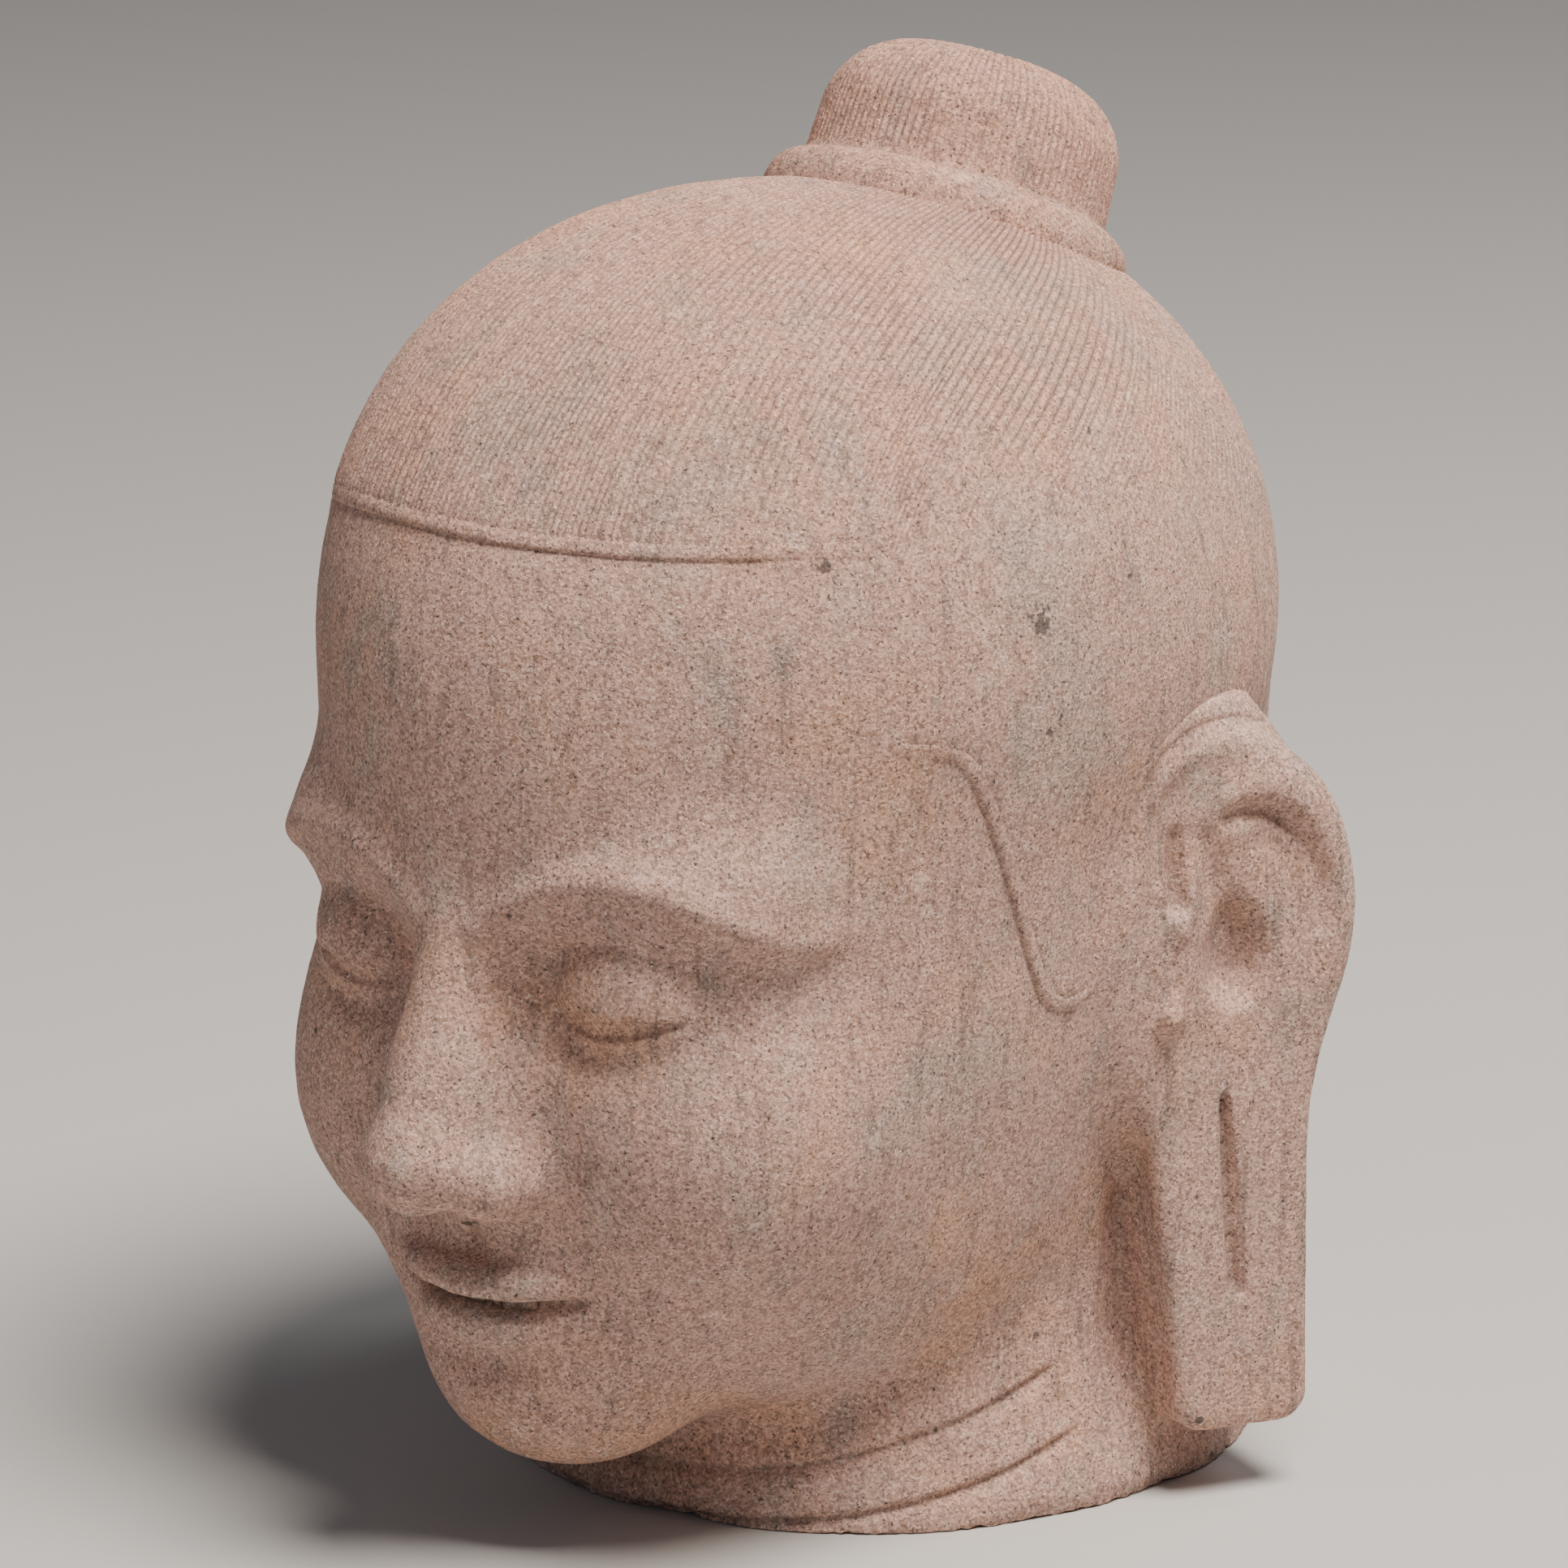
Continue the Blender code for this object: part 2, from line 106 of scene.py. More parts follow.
def rod(x, y, z, start, end, startRadius, endRadius):
    along = np.subtract(end, start)
    dx, dy, dz = x - start[0], y - start[1], z - start[2]
    share = np.clip((dx * along[0] + dy * along[1] + dz * along[2]) / along.dot(along), 0, 1)
    dx, dy, dz = dx - share * along[0], dy - share * along[1], dz - share * along[2]
    return np.sqrt(dx * dx + dy * dy + dz * dz) - (startRadius + share * (endRadius - startRadius))


def roundedBox(a, b, halfA, halfB, rounding):
    qa, qb = np.abs(a) - (halfA - rounding), np.abs(b) - (halfB - rounding)
    outside = np.hypot(np.maximum(qa, 0), np.maximum(qb, 0))
    return outside + np.minimum(np.maximum(qa, qb), 0) - rounding


def curveDistance(u, v, points):
    nearest = np.full(u.shape, 1e3)
    for (u0, v0), (u1, v1) in zip(points, points[1:]):
        du, dv = u1 - u0, v1 - v0
        share = np.clip(((u - u0) * du + (v - v0) * dv) / (du * du + dv * dv), 0, 1)
        nearest = np.minimum(nearest, np.hypot(u - u0 - share * du, v - v0 - share * dv))
    return nearest


def arch(points, steps=6):
    # A smooth curve through the given points
    ends = [points[0], *points, points[-1]]
    curve = []
    for before, start, end, after in zip(ends, ends[1:], ends[2:], ends[3:]):
        before, start, end, after = map(np.array, (before, start, end, after))
        for i in range(steps):
            t = i / steps
            curve.append(
                start
                + t * (end - before) / 2
                + t * t * (before - 2.5 * start + 2 * end - after / 2)
                + t ** 3 * (1.5 * (start - end) + (after - before) / 2)
            )
    return [*curve, np.array(points[-1])]


# The bare head and neck. Masses are centre and half-sizes; the right half mirrors the left.
head = {
    "nod": 5,            # degrees that the face leans forward, about nodPivot
    "nodPivot": 15.0,
    "neckWidth": 19.2,
    "neckDepth": 20.8,
    "neckFlare": 2.2,
    "foldDepth": 0.2,
    "baseWear": 0.35,
    "eyeLevel": 18.3,
    "eyeSpacing": 4.35,
    "noseLevel": 12.6,
    "mouthLevel": 9.4,
    "cranium": ((0, -2.7, 24.4), (12.1, 15.2, 12.5)),
    "crown": ((3.2, -4.2, 26.8), (8.6, 11.0, 9.6)),
    "faceBlock": ((0, -8.0, 15.0), (10.2, 10.0, 11.4)),
    "sideBlock": ((0, -1.6, 15.4), (10.6, 10.4, 9.8)),
    "jaw": ((0, -5.5, 9.2), (8.8, 9.6, 5.4)),
    "cheek": ((5.0, -13.2, 13.6), (4.2, 4.2, 4.6)),
    "mouthBarrel": ((0, -14.2, 9.2), (5.2, 4.0, 4.0)),
    "chin": ((0, -14.7, 6.3), (3.8, 3.2, 2.8)),
    "browBone": ((4.2, -13.5, 21.2), (4.6, 3.4, 2.3)),
    "browLine": arch([(1.1, 20.4), (2.8, 21.5), (5.0, 22.0), (7.2, 21.5), (9.0, 19.9)]),
    "noseTip": ((0, -20.1, 13.95), (1.35, 1.3, 1.25)),
    "noseFlank": ((0, -17.1, 14.8), (2.5, 2.8, 3.2)),
    "noseWing": ((1.75, -18.7, 13.4), (1.15, 1.5, 1.15)),
    "bridgeTop": (0, -16.6, 21.6),
    "bridgeFoot": (0, -20.1, 14.1),
    "bridgeRadius": 1.15,
    "fineness": 0.0017,  # metres between the points of the skin, halved where the carving is crisp
    "triangles": 192000,
}


def skull(x, y, z):
    form = ellipsoid(x, y, z, head["cranium"])
    softX = np.sqrt(x * x + 1.5)
    form = smoothMin(form, ellipsoid(softX, y, z, head["crown"]), 1.5)
    form = smoothMin(form, ellipsoid(x, y, z, head["sideBlock"]), 3.0)
    form = smoothMin(form, ellipsoid(x, y, z, head["faceBlock"]), 4.0)
    form = smoothMin(form, ellipsoid(x, y, z, head["jaw"]), 3.0)
    form = smoothMin(form, ellipsoid(x, y, z, head["cheek"]), 2.5)
    form = smoothMin(form, ellipsoid(x, y, z, head["mouthBarrel"]), 1.6)
    return smoothMin(form, ellipsoid(x, y, z, head["chin"]), 1.8)


def withEyes(form, x, y, z):
    level, spacing = head["eyeLevel"], head["eyeSpacing"]
    form = smoothMin(form, ellipsoid(x, y, z, head["browBone"]), 1.5)
    socket = ((spacing + 0.1, -20.2, level + 0.2), (3.7, 3.8, 2.35))
    form = smoothMax(form, -ellipsoid(x, y, z, socket), 1.1)
    ball = ellipsoid(x, y, z, ((spacing, -14.75, level), (2.6, 2.5, 2.3)))
    form = smoothMin(form, ball, 0.5)
    across = (x - spacing) / 2.4
    upperRim = level - 0.35 + 0.25 * (1 - across ** 2) + 0.12 * across
    lowerRim = level - 0.6 - 0.3 * (1 - across ** 2) + 0.12 * across
    upperLid = smoothMax(ball - 0.3, upperRim - z, 0.12)
    lowerLid = smoothMax(ball - 0.2, z - lowerRim, 0.12)
    form = smoothMin(form, upperLid, 0.2)
    form = smoothMin(form, lowerLid, 0.35)
    front = step(-y, 9, 12)
    return form - 0.28 * ridge(curveDistance(x, z, head["browLine"]), 0.5) * front


def withNose(form, x, y, z):
    radius = head["bridgeRadius"]
    nose = rod(x, y, z, head["bridgeTop"], head["bridgeFoot"], radius, radius)
    nose = smoothMin(nose, ellipsoid(x, y, z, head["noseFlank"]), 1.3)
    nose = smoothMin(nose, ellipsoid(x, y, z, head["noseTip"]), 0.8)
    nose = smoothMin(nose, ellipsoid(x, y, z, head["noseWing"]), 0.9)
    septum = rod(x, y, z, (0, -20.3, 13.2), (0, -18.2, 12.9), 0.5, 0.6)
    form = smoothMin(form, smoothMin(nose, septum, 0.5), 0.9)
    nostril = ((0.95, -19.1, 12.5), (0.5, 0.9, 0.45))
    return smoothMax(form, -ellipsoid(x, y, z, nostril), 0.3)


def withMouth(form, x, y, z):
    curl = y - 0.075 * x * x
    height = z - head["mouthLevel"] - 0.015 * x * x
    sulcus = ((0, -19.2, -1.9), (2.4, 1.3, 0.65))
    form = smoothMax(form, -ellipsoid(x, curl, height, sulcus), 0.8)
    upperLip = ellipsoid(x, curl, height, ((1.15, -17.85, 0.55), (2.45, 1.05, 0.66)))
    bead = ellipsoid(x, curl, height, ((0, -18.0, 0.48), (0.9, 0.95, 0.52)))
    lowerLip = ellipsoid(x, curl, height, ((0, -17.75, -0.7), (2.8, 1.1, 0.85)))
    form = smoothMin(form, smoothMin(upperLip, bead, 0.5), 0.22)
    form = smoothMin(form, lowerLip, 0.22)
    front = step(-y, 14.5, 15.5)
    parting = ridge(height - 0.04 * np.cos(1.7 * x), 0.2) * step(3.7 - x, 0, 0.7)
    top = head["mouthLevel"] + 1.1
    philtrum = ridge(x, 0.4) * step(z, top, top + 0.4) * step(head["noseLevel"] - z, 0, 0.6)
    return form + (0.3 * parting + 0.15 * philtrum) * front


def neck(x, y, z):
    flare = head["neckFlare"] / 2 * (1 - step(z, -1, 5.5))
    halfWidth = head["neckWidth"] / 2 + flare
    halfDepth = head["neckDepth"] / 2 + flare
    return smoothMax((np.hypot(x / halfWidth, y / halfDepth) - 1) * halfWidth, z - 19, 3)


def roundFromFront(x, y, middle):
    return np.degrees(np.arctan2(x, middle - y))


def neckFolds(x, y, z):
    # Two cut lines with a steep upper wall and a lower wall that slopes out, ending below the ears
    turn = np.clip(roundFromFront(x, y, 0) / 68, 0, 2)
    folds = 0
    for level, rise, power, end in ((1.5, 2.6, 2, 1.02), (0.15, 1.9, 2.3, 1.06)):
        above = z - level - rise * turn ** power
        cut = np.where(above > 0, ridge(above, 0.1), ridge(above, 0.28))
        folds = folds + cut * step(end - turn, -0.03, 0.05)
    return head["foldDepth"] * folds


def nodded(y, z):
    nod, dz = math.radians(head["nod"]), z - head["nodPivot"]
    faceY = y * math.cos(nod) + dz * math.sin(nod)
    return faceY, head["nodPivot"] - y * math.sin(nod) + dz * math.cos(nod)


def bareHead(points, face=False):
    across, y, z = points.T
    x = np.abs(across)
    faceY, faceZ = nodded(y, z)
    stone = skull(x, faceY, faceZ)
    if face:
        stone = withEyes(stone, x, faceY, faceZ)
        stone = withNose(stone, x, faceY, faceZ)
        stone = withMouth(stone, x, faceY, faceZ)
    throat = neck(x, y, z) + neckFolds(x, y, z)
    return smoothMin(stone, throat, 0.9 + 3.6 * step(y, 0, 9))


# Ears: lines are back from the seat and up from the middle of the hollow.
ears = {
    "seat": (11.7, 1.3),
    "foot": 2.0,
    "length": 19.8,
    "width": 5.9,
    "lobeWidth": 4.1,
    "thickness": 2.4,
    "flare": 27,         # degrees that they stand off
    "slitLength": 6.3,
    "slitDrop": 9.65,    # from the top of the ear to the top of the slit
    "slitLean": 0.077,   # how far it leans forwards for each module up
    "slitDepth": 0.5,
    "recessTop": 10.4,   # height of the upper end of the hollow between jaw and lobe
    "recessWidths": (0.22, 0.1),  # half-width at its upper end, and how much it widens for each module down
    "recessDepth": 0.36,          # as a share of the half-width
    "gutter": arch([(-0.9, 2.9), (-0.2, 3.05), (0.75, 2.75), (1.65, 1.9), (2.15, 0.7), (2.1, -0.6)], 3),
    "fossa": [(-1.65, 2.3), (-0.75, 0.3)],
    "frontGroove": [(-2.7, 2.6), (-2.65, 0.7)],
    "crus": [(-2.15, 2.4), (-2.15, 0.8), (-2.3, -0.2)],
    "frontRim": [(-3.0, 1.2), (-2.5, 0.0), (-2.25, -1.7), (-2.65, -2.5)],
}
earTop = ears["foot"] + ears["length"]


def backAndOut(x, y):
    flare = math.radians(ears["flare"])
    dx, dy = x - ears["seat"][0], y - ears["seat"][1]
    return dx * math.sin(flare) + dy * math.cos(flare), dx * math.cos(flare) - dy * math.sin(flare)


def fromSlit(back, z):
    # Distance back from the slit's middle line, and how far up it, 0 at its foot and 1 at its top
    foot = earTop - ears["slitDrop"] - ears["slitLength"]
    return back + 0.3 + ears["slitLean"] * (z - foot), (z - foot) / ears["slitLength"]


def ear(x, y, z):
    back, out = backAndOut(x, y)
    halfEar, halfThickness = ears["width"] / 2, ears["thickness"] / 2

    # Outline: an oval shell over a lobe that leans and widens slightly upwards
    shellHalfHeight = 4.35
    shellMiddle = earTop - shellHalfHeight
    shell = (np.hypot((back - 0.3) / halfEar, (z - shellMiddle) / shellHalfHeight) - 1) * halfEar
    lobeMiddle = (ears["foot"] + shellMiddle) / 2
    halfWidth = ears["lobeWidth"] / 2 + 0.05 * (z - ears["foot"])
    lobeBack = back + 0.06 * (z - ears["foot"])
    root = 0.13 * np.clip(0.4 - out, 0, 3)
    lobe = roundedBox(lobeBack + root, z - lobeMiddle, halfWidth + root, lobeMiddle - ears["foot"], 0.9)
    outline = smoothMin(shell, lobe, 2.4)

    # Relief of the outer face: rim, gutter inside it, hollows, front rim, tragus and the slit
    up = z - earTop + 4.7
    rim = 0.25 * ridge(outline + 0.7, 0.5) * step(up, -4, -1)
    gutterRun = step(back, -1.9, -0.8) * step(up, -1.6, 0.8) * (1 - 0.55 * step(back, 1.0, 2.1))
    gutterWall = 0.32 + 0.5 * step(-outline, 1.4, 1.9)
    gutter = 0.45 * ridge(curveDistance(back, up, ears["gutter"]), gutterWall) * gutterRun
    bowl = (np.hypot((back + 0.5) / 1.1, (up + 1.1) / 1.6) - 1) * 1.1
    hollow = 0.95 * (1 - step(bowl, -0.75, 0.18))
    hollow = hollow + 0.4 * ridge(curveDistance(back, up, ears["fossa"]), 0.55)
    hollow = hollow + 0.6 * ridge(curveDistance(back, up, ears["frontGroove"]), 0.3)
    frontRim = 0.25 * ridge(curveDistance(back, up, ears["frontRim"]), 0.3)
    frontRim = frontRim + 0.2 * ridge(curveDistance(back, up, ears["crus"]), 0.22)
    tragus = 0.5 * ridge(np.hypot(back + 2.7, up + 2.7), 0.5)
    beside, run = fromSlit(back, z)
    run = np.clip(run, 0, 1)
    ends = np.minimum(1, np.minimum(run / 0.04, (1 - run) / 0.04))
    halfSlit = (0.14 + 0.2 * np.minimum(1, (1 - run) / 0.5)) * ends + 1e-3
    slit = ears["slitDepth"] * ends * np.maximum(0, 1 - np.abs(beside) / halfSlit)
    outerFace = out - halfThickness + gutter + hollow + slit - rim - frontRim - tragus

    # The back slopes in from the free rim, so that stone is left between the ear and the head
    backFace = -out - halfThickness - 0.8 * np.maximum(halfEar + 0.4 - back, 0)
    return smoothMax(smoothMax(outline, outerFace, 0.5), backFace, 0.5)


def lobeRecess(x, y, z):
    # A cut between jaw and lobe, narrow at its upper end
    back, out = backAndOut(x, y)
    front = back + ears["lobeWidth"] / 2 + 0.11 * (z - ears["foot"])
    narrowest, widening = ears["recessWidths"]
    half = narrowest + widening * np.clip(ears["recessTop"] - z, 0, 5)
    fading = 1 - step(z, ears["recessTop"] - 1.6, ears["recessTop"])
    deep = ears["recessDepth"] * half * step(z, 2, 5) * fading
    return deep * ridge(front + 0.9 * half, half) * step(out, -4, -2)


def nearRecess(points):
    # The front of the lobe and the stone beside it
    x, y, z = np.abs(points[:, 0]), points[:, 1], points[:, 2]
    back, out = backAndOut(x, y)
    return (np.abs(back + 2.8) < 1.6) & (out < 1.4) & (x > 7) & (z > 4.5) & (z < 11)


def atSlit(x, y, z):
    back, out = backAndOut(x, y)
    beside, run = fromSlit(back, z)
    return (np.abs(beside) < 0.5) & (out > 0) & (np.abs(run - 0.5) * ears["slitLength"] < 3.4)


# Combed hair. The hairline is degrees round from the front of the skull and height.
hair = {
    "relief": 0.12,      # how far the hair stands over the bare stone
    "skullMiddle": -3.5,
    "degreeLength": 0.22,
    "hairline": arch([
        (-20, 29.1), (20, 29.1), (44, 29.15), (48.5, 28.8), (50.6, 28.1), (51, 26.5), (49.6, 24.0),
        (54.5, 23.6), (58.5, 23.3), (61, 22.6), (66, 20.2), (72.5, 16.7), (75.3, 15.75), (80, 15.4),
        (84.8, 15.7), (87, 17.2), (88.7, 19.4), (91.2, 21.4), (96.5, 22.45), (105, 22.8), (115, 22.3),
        (121, 20.3), (127, 16.0), (133, 11.0), (141, 8.6), (165, 8.0), (200, 8.0),
    ], 3),
    # Degrees round from the front, depth of the line cut along the edge, half-width of the edge
    "edgeFinish": (
        (0, 0.045, 0.16), (34, 0.045, 0.18), (41, 0.012, 0.6), (47, 0.03, 0.8), (53, 0.01, 0.8),
        (57, 0.025, 0.35), (61, 0.06, 0.15), (73, 0.065, 0.14), (77, 0.05, 0.18), (81, 0.03, 0.25),
        (86, 0.02, 0.3), (90, 0.018, 0.25), (125, 0.04, 0.12), (200, 0.03, 0.12),
    ),
    "strandsAtCollar": 164,
    "pointsPerStrand": 8,    # across one strand at the collar, before it splits in two
    "rows": 74,
    "groove": 0.058,     # depth of the comb lines
    "sweep": 25,         # degrees that the strands lean forwards as they run down the sides
    "combCentre": 14,    # the strands' rays start this far below the topknot's seat
    "underCollar": 18,   # degrees from the topknot's axis where the strands start
    "band": 1.1,         # width of the hair's edge that is part of the bare stone
    "earRoll": 0.24,     # height of the roll round the ear's root
    "widest": (0.31, 0.42),  # strands split in two when they reach a width between these
}


def hairEdge(across, y, z):
    # Distance from the hairline, negative inside the hair. The right temple is cut a little lower.
    turn = roundFromFront(np.abs(across), y, hair["skullMiddle"])
    z = z + 0.8 * np.clip(-across / 9, 0, 1.1) ** 3 * (1 - step(turn, 48, 62))
    turn = turn * hair["degreeLength"]
    outline = [(degrees * hair["degreeLength"], level) for degrees, level in hair["hairline"]]
    outline = [*outline, (200 * hair["degreeLength"], 60), (-20 * hair["degreeLength"], 60)]
    closed = [*outline, outline[0]]
    inside = np.zeros(turn.shape, bool)
    for (u0, v0), (u1, v1) in zip(closed, closed[1:]):
        if v0 != v1:
            inside ^= ((v0 > z) != (v1 > z)) & (turn < u0 + (z - v0) * (u1 - u0) / (v1 - v0))
    distance = curveDistance(turn, z, closed)
    return np.where(inside, -distance, distance)


def hairRise(edge, across, y):
    # Height of the hair over the bare stone, with a line cut along its edge
    turn = roundFromFront(np.abs(across), y, hair["skullMiddle"])
    places, depths, softness = zip(*hair["edgeFinish"])
    soft = np.interp(turn, places, softness)
    line = np.interp(turn, places, depths) * ridge(edge - 0.03, 0.06)
    return hair["relief"] * step(-edge, -soft, soft) - line


def hairBand(across, y, z):
    # The edge of the hair, which sinks below the strands further in, and the roll round the ear's root
    edge = hairEdge(across, y, z)
    turn = roundFromFront(np.abs(across), y, hair["skullMiddle"])
    byEar = step(turn, 83, 92) * (1 - step(turn, 116, 125)) * step(z, 14, 18.5)
    roll = hair["earRoll"] * ridge(edge - 0.62, 0.52) * byEar
    return hairRise(edge, across, y) + roll - 0.35 * step(-edge, 0.3, 0.95)


def edgeWear(across, y, z):
    # The cut edge of the neck is worn, the same on neither side
    roundNeck = np.arctan2(across, -y)
    wear = 0.5 + 0.3 * np.sin(5 * roundNeck + 1) + 0.2 * np.sin(13 * roundNeck)
    return head["baseWear"] * wear ** 2 * step(-z, -0.6, 0.05)


def bareStone(points):
    across, y, z = points.T
    x = np.abs(across)
    stone = bareHead(points, face=True) - hairBand(across, y, z)
    stone = smoothMin(stone, ear(x, y, z), 0.5 + 1.7 * step(z, 8.6, 12.2)) + lobeRecess(x, y, z)
    return smoothMax(stone + edgeWear(across, y, z), -z, 0.15)


def crisp(points):
    # Where the skin needs to be finer: edge of the hair, eyes, nose, mouth, ears and neck folds
    x, y, z = np.abs(points[:, 0]), points[:, 1], points[:, 2]
    faceY, faceZ = nodded(y, z)
    eyes = (faceY < -10) & (np.abs(faceZ - 18.4) < 3.2) & (np.abs(x - 4.5) < 4)
    mouth = (faceY < -12) & (np.abs(faceZ - 11) < 3.6) & (x < 5.2)
    shell = (z > 12) & (z < 22.2) & (x > 11.5) & (y > -3) & (backAndOut(x, y)[1] > 0)
    folds = (z < 5.5) & (neckFolds(x, y, z) > 0.01)
    recess = lobeRecess(x, y, z) > 0.05
    return (np.abs(hairEdge(points[:, 0], y, z)) < 0.35) | eyes | mouth | shell | folds | recess


# Cutting. Pieces are read and written in modules.
module = 0.01


def readPoints(piece):
    points = np.empty(len(piece.data.vertices) * 3, np.float32)
    piece.data.vertices.foreach_get("co", points)
    return points.reshape(-1, 3).astype(float) / module


def writePoints(piece, points):
    piece.data.vertices.foreach_set("co", (points * module).astype(np.float32).ravel())
    piece.data.update()


def slopeOf(form, points, off):
    return np.stack([form(points + 0.01 * axis) - off for axis in np.eye(3)], axis=1) / 0.01


def outwards(form, points):
    slope = slopeOf(form, points, form(points))
    return slope / np.maximum(np.linalg.norm(slope, axis=1, keepdims=True), 1e-9)


def cutOnto(form, points, passes):
    # Moves points on to the form's surface, by 2 mm at most in each pass
    for _ in range(passes):
        off = form(points)
        slope = slopeOf(form, points, off)
        move = -slope * (off / np.maximum((slope ** 2).sum(axis=1), 0.1))[:, None]
        length = np.linalg.norm(move, axis=1, keepdims=True)
        points = points + move * np.minimum(1, 0.2 / np.maximum(length, 1e-9))
    return points


def lumps(points, sizes):
    # Unevenness left by tools and weather: pairs of lump size and height, in millimetres
    height = np.zeros(len(points))
    for size, depth in sizes:
        places = (points * 10 / size + size).tolist()
        height += depth / 10 * np.array([noise.noise(place) for place in places])
    return height


def makeActive(piece):
    bpy.ops.object.select_all(action="DESELECT")
    piece.select_set(True)
    bpy.context.view_layer.objects.active = piece


def chooseIn(piece, kind, chosen):
    # Selects only these points or faces, and leaves the piece in edit mode
    makeActive(piece)
    bpy.ops.object.mode_set(mode="EDIT")
    bpy.ops.mesh.select_mode(type=kind)
    bpy.ops.mesh.select_all(action="DESELECT")
    bpy.ops.object.mode_set(mode="OBJECT")
    parts = piece.data.vertices if kind == "VERT" else piece.data.polygons
    parts.foreach_set("select", chosen)
    bpy.ops.object.mode_set(mode="EDIT")


def closeUp(piece):
    # Draws the open rim in to one point inside the stone and turns every face outwards
    makeActive(piece)
    bpy.ops.object.mode_set(mode="EDIT")
    bpy.ops.mesh.select_mode(type="VERT")
    bpy.ops.mesh.select_all(action="SELECT")
    bpy.ops.mesh.remove_doubles(threshold=1e-6)
    bpy.ops.mesh.select_all(action="DESELECT")
    bpy.ops.mesh.select_non_manifold()
    bpy.ops.mesh.extrude_edges_move()
    bpy.ops.mesh.merge(type="CENTER")
    bpy.ops.mesh.select_all(action="SELECT")
    bpy.ops.mesh.normals_make_consistent(inside=False)
    bpy.ops.object.mode_set(mode="OBJECT")
    bpy.ops.object.shade_smooth_by_angle(angle=math.radians(60))


weather = {
    "skin": ((30, 0.3), (9, 0.16), (3.6, 0.1)),     # lump size and height, mm
    "collar": ((22, 0.5), (8, 0.35), (3.6, 0.12)),
    "baseEdge": ((14, 1.6), (5, 1.2), (2.5, 0.6)),
}


def crispest(points):
    # The slit in the lobe, and the lines along the brow and the sideburn
    across, y, z = points.T
    return atSlit(np.abs(across), y, z) | ((np.abs(hairEdge(across, y, z) - 0.03) < 0.17) & (z > 14))


def refine(piece, where):
    # Halves the faces whose first corner is where the test says
    points = readPoints(piece)
    corners = np.empty(len(piece.data.loops), np.int32)
    piece.data.loops.foreach_get("vertex_index", corners)
    starts = np.empty(len(piece.data.polygons), np.int32)
    piece.data.polygons.foreach_get("loop_start", starts)
    chooseIn(piece, "FACE", where(points[corners[starts]]))
    bpy.ops.mesh.subdivide(number_cuts=1, ngon=False)
    bpy.ops.object.mode_set(mode="OBJECT")


def cutBareStone():
    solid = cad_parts["stone_head"]
    piece = bpy.data.objects.new("carvedHead", solid.data.copy())
    bpy.context.scene.collection.objects.link(piece)
    makeActive(piece)
    bpy.ops.object.mode_set(mode="EDIT")
    bpy.ops.mesh.select_all(action="SELECT")
    bpy.ops.mesh.remove_doubles(threshold=1e-6)
    bpy.ops.object.mode_set(mode="OBJECT")
    skin = piece.modifiers.new("Skin", "REMESH")
    skin.mode = "VOXEL"
    skin.voxel_size = head["fineness"]
    bpy.ops.object.modifier_apply(modifier=skin.name)

    # Only the ears and a band of the hair are kept: the strands cover the rest
    across, y, z = readPoints(piece).T
    covered = (hairEdge(across, y, z) < -hair["band"]) & (ear(np.abs(across), y, z) > 0.6)
    chooseIn(piece, "VERT", covered)
    bpy.ops.mesh.delete(type="VERT")
    bpy.ops.object.mode_set(mode="OBJECT")

    refine(piece, crisp)
    refine(piece, crispest)
    writePoints(piece, cutOnto(bareStone, readPoints(piece), 4))

    # The skin is evened out where it was drawn into the recess, then cut once more
    drawn = nearRecess(readPoints(piece))
    chooseIn(piece, "VERT", drawn)
    bpy.ops.mesh.vertices_smooth(factor=0.5, repeat=8)
    bpy.ops.object.mode_set(mode="OBJECT")
    points = readPoints(piece)
    points[drawn] = cutOnto(bareStone, points[drawn], 3)
    rough = lumps(points, weather["skin"]) * step(points[:, 2], 0.02, 0.3)
    chips = np.abs(lumps(points, weather["baseEdge"])) * (1 - step(points[:, 2], 0.1, 0.8))
    points = points + outwards(bareStone, points) * (rough - chips)[:, None]
    points[:, 2] = np.maximum(points[:, 2], 0)
    writePoints(piece, points)

    # Triangles are kept where the surface bends
    piece.data.calc_loop_triangles()
    thin = piece.modifiers.new("Thin", "DECIMATE")
    thin.ratio = head["triangles"] / len(piece.data.loop_triangles)
    bpy.ops.object.modifier_apply(modifier=thin.name)
    closeUp(piece)
    return piece


carvedHead = cutBareStone()
print("bare stone cut:", len(carvedHead.data.polygons), "faces")

# The topknot leans back on the crown; the hair radiates from its axis.
knot = {
    "seat": (0, 3.0, 35.3),
    "lean": 25,
    "collar": ((4.45, -0.75), (0.9, 1.1)),  # its round section: middle and half-sizes, out and up
    "collarTop": 0.35,
    "radius": 4.45,
    "height": 3.85,
    "strands": 54,       # at the top; each splits in two on the way down
    "pointsPerStrand": 12,
    "groove": 0.055,
}
lean = math.radians(knot["lean"])
axisUp = np.array((0, math.sin(lean), math.cos(lean)))
axisFront = np.array((0, -math.cos(lean), math.sin(lean)))
axisSide = np.array((1.0, 0, 0))
knotSeat = np.array(knot["seat"])


